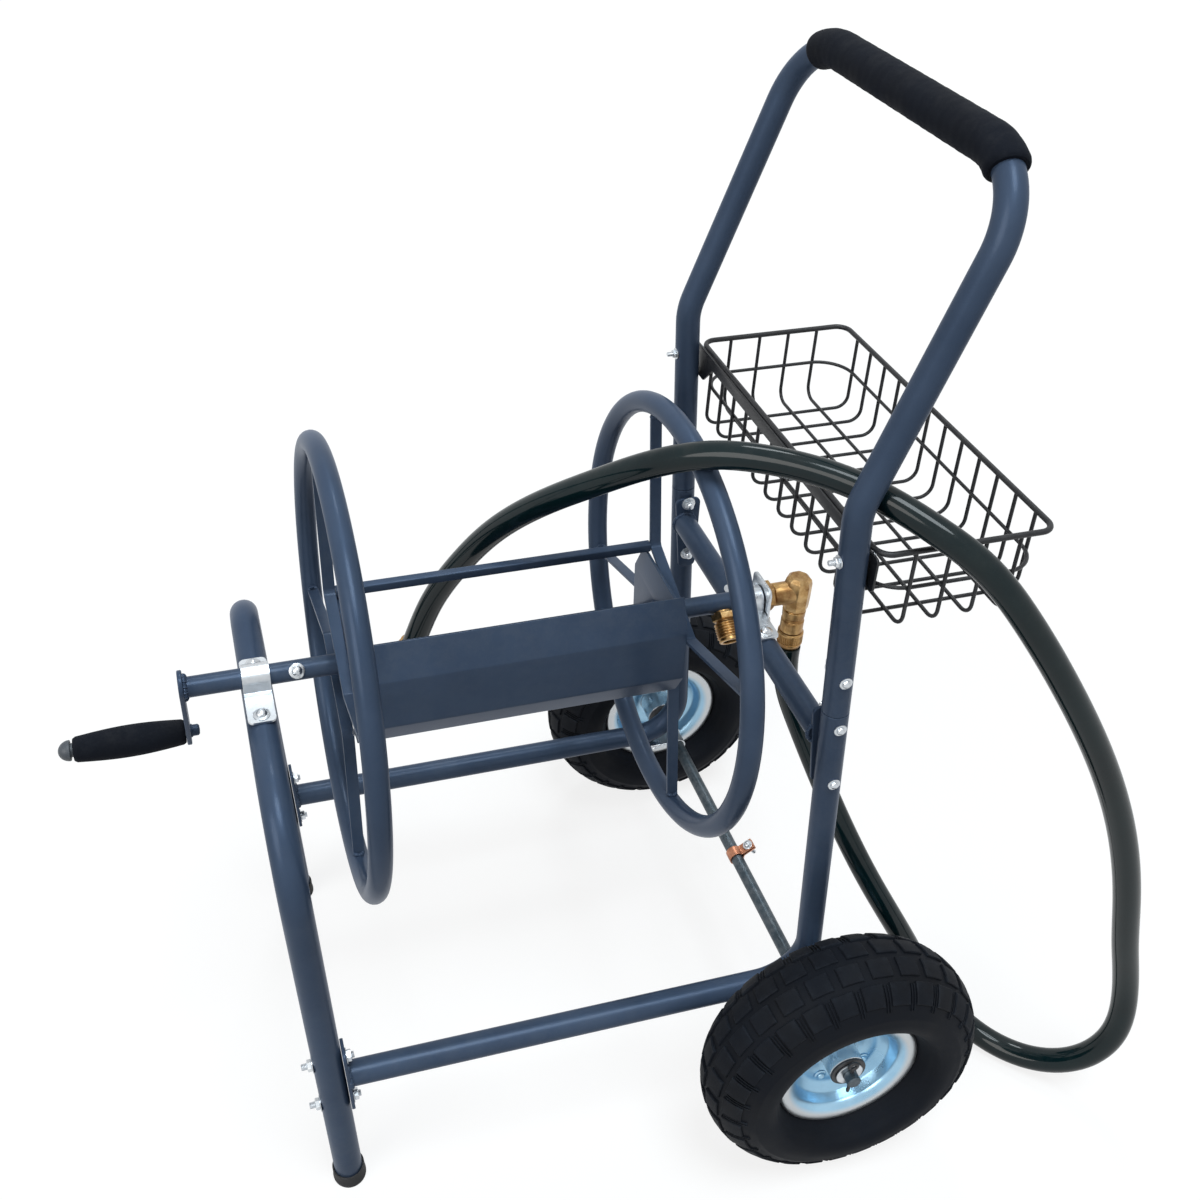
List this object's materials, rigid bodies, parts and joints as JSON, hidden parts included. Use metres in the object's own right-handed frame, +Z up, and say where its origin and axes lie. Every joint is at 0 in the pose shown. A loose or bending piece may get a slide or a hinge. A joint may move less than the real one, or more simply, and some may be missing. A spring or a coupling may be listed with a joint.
{
  "type": "hose reel cart",
  "caption": "Two-wheeled tubular steel garden hose cart with a cranked reel, wire basket, foam push handle and a brass-fitted leader hose.",
  "frame": {"origin": "on the ground, centred under the cart's outline", "axes": "+Z up, +X along the reel shaft from the crank to the water inlet and the handle, +Y across the cart along the axle"},
  "size_m": [0.9218, 0.569, 0.9279],
  "materials": {
    "powder_coat": "satin slate blue-grey powder coat",
    "foam": "matt closed-cell foam",
    "rubber": "matt black rubber",
    "tyre": "block-tread tyre rubber",
    "zinc": "bright zinc plate",
    "brass": "cast brass, lightly dulled",
    "copper": "copper-plated clip",
    "wire_coat": "black dipped wire coating",
    "black_plastic": "moulded",
    "grey_plastic": "moulded cap",
    "hose": "dark green hose rubber, satin"
  },
  "bodies": {
    "frame": {"side_frame_near": "powder_coat", "side_frame_far": "powder_coat", "rail_plate_near": "powder_coat", "rail_plate_far": "powder_coat", "handle_tube": "powder_coat", "handle_grip": "foam", "front_hoop": "powder_coat", "foot_cap_near": "rubber", "foot_cap_far": "rubber", "rear_crossbar": "powder_coat", "front_saddle": "zinc", "rear_saddle": "zinc", "inlet_plate": "zinc", "axle": "zinc", "axle_clip_near": "zinc", "axle_clip_far": "zinc", "axle_band_clip": "copper", "axle_spacer_near": "zinc", "axle_spacer_far": "zinc", "wheel_washer_near": "zinc", "wheel_washer_far": "zinc", "wheel_pin_near": "black_plastic", "wheel_pin_far": "black_plastic", "basket": "wire_coat", "basket_mount_bar": "wire_coat", "inlet_elbow": "brass", "hose_inlet_nut": "brass", "leader_hose": "hose", "hose_end_coupling": "brass"},
    "reel": {"reel_shaft": "powder_coat", "reel_ring_front": "powder_coat", "reel_ring_rear": "powder_coat", "flange_bar_front_upper": "powder_coat", "flange_bar_front_lower": "powder_coat", "flange_bar_rear_upper": "powder_coat", "flange_bar_rear_lower": "powder_coat", "reel_core": "powder_coat", "hub_plate_front": "powder_coat", "hub_plate_rear": "powder_coat", "reel_stay": "powder_coat", "outlet_fitting": "brass", "crank_arm": "powder_coat", "grip_spindle": "zinc"},
    "crank_handle": {"crank_grip": "foam", "crank_grip_cap": "grey_plastic"},
    "wheel_near": {"tyre_near": "tyre", "rim_outer_near": "zinc", "rim_inner_near": "zinc", "hub_near": "zinc", "hub_bush_outer_near": "black_plastic", "hub_bush_inner_near": "black_plastic"},
    "wheel_far": {"tyre_far": "tyre", "rim_outer_far": "zinc", "rim_inner_far": "zinc", "hub_far": "zinc", "hub_bush_outer_far": "black_plastic", "hub_bush_inner_far": "black_plastic"}
  },
  "joints": [
    {"name": "reel_spin", "type": "hinge", "parent": "frame", "child": "reel", "pos_m": [0, 0, 0.46], "axis": [1, 0, 0], "continuous": true},
    {"name": "crank_grip_spin", "type": "hinge", "parent": "reel", "child": "crank_handle", "pos_m": [-0.32, 0.03138, 0.38424], "axis": [1, 0, 0], "continuous": true},
    {"name": "wheel_spin_near", "type": "hinge", "parent": "frame", "child": "wheel_near", "pos_m": [0.248, -0.239, 0.127], "axis": [0, 1, 0], "continuous": true},
    {"name": "wheel_spin_far", "type": "hinge", "parent": "frame", "child": "wheel_far", "pos_m": [0.248, 0.239, 0.127], "axis": [0, 1, 0], "continuous": true}
  ]
}
